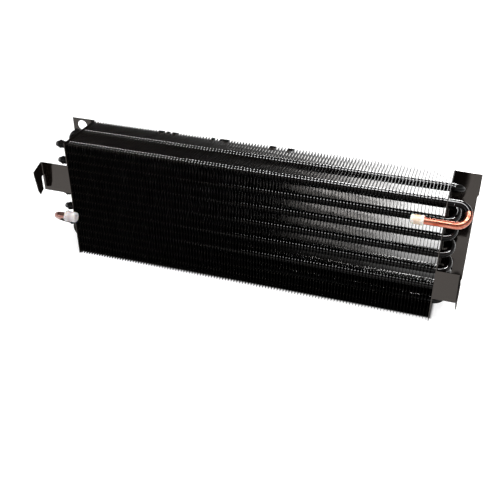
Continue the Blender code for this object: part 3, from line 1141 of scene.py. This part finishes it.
@dataclass
class EndPlate:
    """One end plate, folded from a single sheet: web, back flange, front bracket and hook."""

    end: End
    node: str
    pattern: Pattern
    back_gap: float = 0.4 * MM
    front: float = -0.6 * MM
    fold: float = 1.0 * MM
    fold_steps: int = 8
    flange_width: float = 36.8 * MM
    bracket_width: float = 43.8 * MM
    bracket_drop: float = 35.6 * MM
    bracket_height: float = 44.6 * MM
    hook_reach: float = 23.0 * MM
    hook_lean: float = 1.6 * MM
    hook_slot: float = 4.6 * MM
    hook_neck: float = 20.0 * MM
    hook_shoulder: float = 6.0 * MM
    hook_point: float = 3.0 * MM
    hook_fold: float = 1.6 * MM
    hook_corner: float = 0.2 * MM
    hook_waist: float = 0.2
    hook_barb: float = 0.38
    slot_slope: float = 2.0 * MM
    lip_depth: float = 19.0 * MM
    lip_taper: float = 8.0 * MM
    # The right flange's lower corner: how wide and how tall it is cut.
    chamfer: Point = (6.5 * MM, 26.0 * MM)
    # The right flange's outer edge: how far it steps in, and from where to where below the top.
    step: Triple = (1.6 * MM, 30.5 * MM, 34.0 * MM)
    # The hanging hole: its distance from the outer edge and from the top, and its radius.
    hole: Triple = (15.4 * MM, 10.8 * MM, 8.0 * MM)
    hole_gap: float = 0.3 * MM
    edge: float = 0.3 * MM
    sheet: float = field(init=False)
    top: float = field(init=False)

    def __post_init__(self) -> None:
        """Takes the sheet from the pattern and the height from the solid."""
        self.sheet = self.pattern.sheet
        self.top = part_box(self.node)[1].z

    def out(self, distance: float) -> float:
        """Gives the X at a distance outward from the web's inner face."""
        return self.pattern.plate_face(self.end, distance)

    def arc(self, centre: Point, radius: float, start: float, end: float) -> list[Point]:
        """Lists points round part of a circle in plan view.

        Args:
            centre: Its middle, as a distance outward and Y.
            radius: Its radius.
            start: Its first angle in degrees, from outward towards the back.
            end: Its last angle.

        Returns:
            The points, as distances outward and Y.
        """
        degrees = (start + (end - start) * i / self.fold_steps for i in range(self.fold_steps + 1))
        turns = [math.radians(a) for a in degrees]
        return [(centre[0] + radius * math.cos(a), centre[1] + radius * math.sin(a)) for a in turns]

    def solid(self, name: str, outline: list[Point], low: float, high: float, axis: str) -> Piece:
        """Makes one prism of the plate as an object."""
        mesh = bmesh.new()
        add_prism(mesh, outline, low, high, axis)
        return object_from(name, mesh)

    def web_and_flange(self) -> Piece:
        """Builds the web and the back flange with a true radius between them."""
        face = self.pattern.low.y + self.front
        back = self.pattern.high.y + self.back_gap + self.sheet
        centre = (self.sheet + self.fold, back - self.sheet - self.fold)
        plan = [(0.0, face), (self.sheet, face)]
        plan += self.arc(centre, self.fold, 180, 90)
        plan += [(self.sheet + self.flange_width, back - self.sheet), (self.sheet + self.flange_width, back)]
        plan += self.arc(centre, self.fold + self.sheet, 90, 180)
        outline = [(self.out(a), b) for a, b in plan]
        return self.solid(self.node + "_sheet", outline, 0.0, self.top, "Z")

    def bracket(self) -> Piece:
        """Builds the front bracket and its hook, folded at the outer edge and cut to shape."""
        face = self.pattern.low.y + self.front
        reach = self.sheet + self.bracket_width
        bend = self.hook_fold
        centre = (reach - self.sheet - bend, face - bend)
        arm_end = face - self.hook_reach
        plan = [(0.0, face + self.sheet), (0.0, face)]
        plan += self.arc(centre, bend, 90, 0)
        tip = reach + self.end.value * self.hook_lean
        plan += [(tip - self.sheet, arm_end), (tip, arm_end)]
        plan += self.arc(centre, bend + self.sheet, 0, 90)
        top = self.pattern.high.z - self.bracket_drop
        low = top - self.bracket_height
        outline = [(self.out(a), b) for a, b in plan]
        strip = self.solid("bracket", outline, low - self.hook_point, top, "Z")
        inner, front = face - self.hook_slot, face - self.hook_reach
        back = face + 2 * self.sheet
        kept = [
            (back, top + self.sheet),
            (face, top + self.sheet),
            (face - self.hook_corner, top),
            (front, top - self.hook_shoulder),
            (front, top - 2 * self.hook_shoulder),
            (front + self.hook_waist * self.hook_reach, low + 2 * self.hook_point),
            (front + self.hook_barb * self.hook_reach, low - self.hook_point / 2),
            (inner, low + self.hook_point),
            (inner, top - self.hook_neck - self.slot_slope),
            (face, top - self.hook_neck),
            (face, low),
            (back, low),
        ]
        sides = sorted((self.out(-self.sheet), self.out(reach + self.sheet)))
        return joined(strip, [self.solid("kept", kept, sides[0], sides[1], "X")], Joining.INTERSECT)

    def lip(self) -> Piece:
        """Builds the lip that is folded back from the top of the right flange."""
        back = self.pattern.high.y + self.back_gap + self.sheet
        reach = self.sheet + self.flange_width
        start = self.sheet + 2 * self.fold
        depth = back + self.lip_depth
        root, tip = back - self.sheet, reach - self.lip_taper
        plan = [(start, root), (reach, root), (tip, depth), (start, depth)]
        outline = [(self.out(a), b) for a, b in plan]
        return self.solid("lip", outline, self.top - self.sheet, self.top, "Z")

    def cutters(self) -> list[Piece]:
        """Builds what is punched out of the plate: tube holes and, by side, a corner or a hanging hole."""
        mesh = bmesh.new()
        sides = sorted((self.out(-self.sheet), self.out(2 * self.sheet)))
        for place in self.pattern.places():
            outline = ring(self.pattern.centre(place), self.pattern.tube_radius + self.hole_gap, 24)
            add_prism(mesh, outline, sides[0], sides[1], "X")
        back = self.pattern.high.y + self.back_gap
        reach = self.sheet + self.flange_width
        tools = [object_from("tube_holes", mesh)]
        if self.end is End.RIGHT:
            wide, tall = self.chamfer
            inset, step_top, step_low = self.step
            corner = [
                (self.out(reach - 1.1 * wide), -0.1 * tall),
                (self.out(reach + 0.1 * wide), -0.1 * tall),
                (self.out(reach + 0.1 * wide), self.top - step_top),
                (self.out(reach), self.top - step_top),
                (self.out(reach - inset), self.top - step_low),
                (self.out(reach - inset), tall * (1 - inset / wide)),
            ]
            tools.append(self.solid("corner", corner, back - self.sheet, back + 2 * self.sheet, "Y"))
        else:
            from_edge, from_top, radius = self.hole
            rim = ring((self.out(reach - from_edge), self.top - from_top), radius, 48)
            tools.append(self.solid("hanging_hole", rim, back - self.sheet, back + 2 * self.sheet, "Y"))
        return tools

    def build(self, finish: Material) -> None:
        """Makes and dresses the plate.

        Args:
            finish: The plate's coating.
        """
        added = [self.bracket()] + ([self.lip()] if self.end is End.RIGHT else [])
        plate = joined(self.web_and_flange(), added, Joining.UNION)
        joined(plate, self.cutters(), Joining.DIFFERENCE)
        flattened(shaded(eased(plate, self.edge)))
        dress(plate, finish, [self.node])


# ---------------------------------------------------------------- studio


@dataclass(frozen=True)
class SoftBox:
    """One soft box, which lights the dull surfaces alone or, as a glint, shows in gloss alone."""

    name: str
    place: Triple
    aim: Triple
    size: Point
    power: float
    glint: bool = True

    def hang(self) -> None:
        """Hangs the box at its place, turned towards what it lights."""
        data = bpy.data.lights.new(self.name, "AREA")
        data.shape = "RECTANGLE"
        data.size, data.size_y = self.size
        data.energy = self.power
        made = bpy.data.objects.new(self.name, data)
        made.location = self.place
        made.rotation_euler = (Vector(self.aim) - Vector(self.place)).to_track_quat("-Z", "Y").to_euler()
        made.visible_diffuse = not self.glint
        made.visible_glossy = self.glint
        bpy.context.scene.collection.objects.link(made)


@dataclass
class Studio:
    """The white sweep, the soft lamps and the camera."""

    low: Vector
    high: Vector
    # The camera's place, from the upper left front corner of the fins.
    camera_from_corner: Triple = (0.55655, -0.8247, 0.4289)
    azimuth: float = 18.738
    elevation: float = 32.345
    focal_px: float = 731.9
    sensor_mm: float = 36.0
    floor_size: float = 8.0
    floor_glow: float = 0.8
    floor_colour: str = "#c9c9c9"
    plate_reach: float = 3.25 * MM
    shade_edge: float = 4.0 * MM
    shade_start: float = 12.0 * MM
    shade_reach: float = 210.0 * MM
    shade_colour: str = "#0c0b0b"
    world_strength: float = 0.55
    ceiling: float = 0.1
    wall_top: float = 0.02
    ceiling_start: float = 0.35
    lamps: tuple[SoftBox, ...] = (
        SoftBox("top_box", (0.25, -0.12, 1.5), (0.0, 0.0, 0.1), (0.9, 0.5), 22.0, glint=False),
        SoftBox("glint_box", (0.1, -0.28, 1.3), (0.0, 0.0, 0.1), (0.6, 0.55), 12.0),
        SoftBox("knot_box", (-0.35, -0.2, 1.2), (-0.27, -0.03, 0.12), (0.25, 0.25), 8.0),
        SoftBox("bend_box", (0.68, -0.43, 1.12), (0.28, -0.02, 0.12), (0.26, 0.12), 5.0),
        SoftBox("back_box", (0.229, 1.446, 0.83), (0.289, 0.056, 0.185), (0.6, 0.3), 24.0),
    )

    def camera(self) -> None:
        """Sets the camera where the photograph was taken from."""
        data = bpy.data.cameras.new("camera")
        data.sensor_fit = "HORIZONTAL"
        data.sensor_width = self.sensor_mm
        data.lens = self.focal_px / PICTURE_PX * self.sensor_mm
        data.clip_start = 0.01
        made = bpy.data.objects.new("camera", data)
        corner = Vector((self.low.x, self.low.y, self.high.z))
        made.location = corner + Vector(self.camera_from_corner)
        made.rotation_euler = (math.radians(90 - self.elevation), 0.0, math.radians(self.azimuth))
        bpy.context.scene.collection.objects.link(made)
        bpy.context.scene.camera = made

    def seen_directly(self, tree: Tree) -> Socket:
        """Adds the test for rays that look at the background, straight or by way of gloss or glass.

        Args:
            tree: The floor's or the world's node tree.

        Returns:
            One for those rays and zero for the others.
        """
        path = add_node(tree, "ShaderNodeLightPath")
        return strongest(tree, [path["Is Camera Ray"], path["Is Glossy Ray"], path["Is Transmission Ray"]])

    def open_floor(self, tree: Tree) -> Socket:
        """Adds the mask for the floor outside the dark shade that is painted under and behind the coil.

        Args:
            tree: The floor's node tree.

        Returns:
            One where the floor lies open, falling to zero under the fins.
        """
        place = parts_of(tree, "ShaderNodeTexCoord", "Object")
        spans = [
            ("X", self.low.x - self.plate_reach, self.low.x - self.plate_reach - self.shade_edge),
            ("X", self.high.x + self.plate_reach, self.high.x + self.plate_reach + self.shade_edge),
            ("Y", self.low.y + 2 * self.shade_edge, self.low.y + self.shade_edge),
            ("Y", self.high.y + self.shade_start, self.high.y + self.shade_reach),
        ]
        masks = []
        for axis, dark, light in spans:
            value = place[axis]
            if light < dark:
                value = add_node(tree, "ShaderNodeMath", {0: value, 1: -1.0}, operation="MULTIPLY")[0]
                dark, light = -dark, -light
            masks.append(add_node(tree, "ShaderNodeMapRange", {"Value": value, **span(dark, light)})[0])
        return strongest(tree, masks)

    def floor(self) -> None:
        """Lays the white floor, which glows where it is looked at and is dark in the painted shade."""
        mesh = bmesh.new()
        bmesh.ops.create_grid(mesh, x_segments=1, y_segments=1, size=self.floor_size / 2)
        floor = object_from("studio_floor", mesh)
        tree, shader, made = new_material("white_sweep")
        clear = self.open_floor(tree)
        paper = {"Factor": clear, 6: linear(self.shade_colour), 7: linear(self.floor_colour)}
        lit = {0: self.seen_directly(tree), 1: clear}
        glow = {0: add_node(tree, "ShaderNodeMath", lit, operation="MULTIPLY")[0], 1: self.floor_glow}
        looks = {
            "Base Color": add_node(tree, "ShaderNodeMix", paper, data_type="RGBA")[2],
            "Roughness": 1.0,
            "Specular IOR Level": 0.0,
            "Emission Color": (1.0, 1.0, 1.0, 1.0),
            "Emission Strength": add_node(tree, "ShaderNodeMath", glow, operation="MULTIPLY")[0],
        }
        fill(tree, shader, looks)
        floor.data.materials.append(made)

    def world(self) -> None:
        """Surrounds the scene with white walls under a dim ceiling, and with even light."""
        world = bpy.data.worlds.new("white_room")
        bpy.context.scene.world = world
        world.use_nodes = True
        tree = world.node_tree
        up = parts_of(tree, "ShaderNodeTexCoord", "Generated")["Z"]
        fade = {"Value": up, **span(self.wall_top, self.ceiling_start, 1.0, self.ceiling)}
        walls = add_node(tree, "ShaderNodeMapRange", fade, interpolation_type="SMOOTHSTEP")[0]
        light = {"Value": self.seen_directly(tree), "To Min": self.world_strength, "To Max": walls}
        strength = add_node(tree, "ShaderNodeMapRange", light)[0]
        fill(tree, tree.nodes["Background"], {"Color": (1.0, 1.0, 1.0, 1.0), "Strength": strength})

    def build(self) -> None:
        """Sets up the whole studio."""
        self.camera()
        self.floor()
        self.world()
        for lamp in self.lamps:
            lamp.hang()
        bpy.context.scene.view_settings.view_transform = "Standard"


# ---------------------------------------------------------------- the whole scene


def main() -> None:
    """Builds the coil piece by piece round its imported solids."""
    logging.basicConfig(level=logging.INFO, format="%(name)s: %(message)s")
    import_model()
    low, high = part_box("fin_stack")
    pattern = Pattern(low, high)
    Studio(low, high).build()

    rows, tubes, sleeves = row_mould(), tube_mould(), sleeve_mould()
    tube_coat = CoatedTube().material()
    collar_coat = CoatedTube(name="black_dipped_collar", top_shine=1.0).material()
    FinStack(pattern).build(rows, CoatedFin(low, high).material(), collar_coat)
    circuit = TubeCircuit(pattern, left_end=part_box("hairpin_01")[0].x)
    circuit.build(tubes, sleeves, tube_coat, collar_coat)

    copper, vinyl = BareCopper(), CapVinyl()
    inlet = Connection(
        "inlet", circuit, pattern.inlet, End.RIGHT, copper, vinyl, cap_radius=6.8 * MM, coated_share=0.4
    )
    inlet.build(tubes, tube_coat)
    brown_copper = replace(
        copper, name="drawn_copper_browned", bright="#b9928a", body="#84544a", stain="#38170f"
    )
    grey_vinyl = replace(vinyl, colour="#e2dcdd", warm="#a48f93")
    outlet = Connection(
        "outlet", circuit, pattern.outlet, End.LEFT, brown_copper, grey_vinyl, coated_share=0.45
    )
    outlet.build(tubes, tube_coat)

    left_web = pattern.plate_face(End.LEFT, pattern.sheet / 2)
    left_steel = CoatedSteel(name="black_dipped_steel_left", web_x=left_web)
    EndPlate(End.LEFT, "end_plate_left", pattern).build(left_steel.material())
    flange_y = high.y + 0.4 * MM
    # Painted shade on the right flange: one dull spot by the bends near the top and one low down, where the
    # flange would mirror shade.
    painted_shade_spots = (
        (Vector((high.x + 7.0 * MM, flange_y, high.z - 8.0 * MM)), Vector((15.0, 1.2, 28.0)) * MM),
        (Vector((high.x + 29.0 * MM, flange_y, 14.0 * MM)), Vector((8.0, 1.2, 15.0)) * MM),
    )
    right_web = pattern.plate_face(End.RIGHT, pattern.sheet / 2)
    right_steel = CoatedSteel(name="black_dipped_steel_right", web_x=right_web, spots=painted_shade_spots)
    right_plate = EndPlate(
        End.RIGHT,
        "end_plate_right",
        pattern,
        flange_width=35.5 * MM,
        bracket_width=31.2 * MM,
        bracket_drop=102.4 * MM,
        hook_reach=20.0 * MM,
    )
    right_plate.build(right_steel.material())


if __name__ == "__main__":
    main()
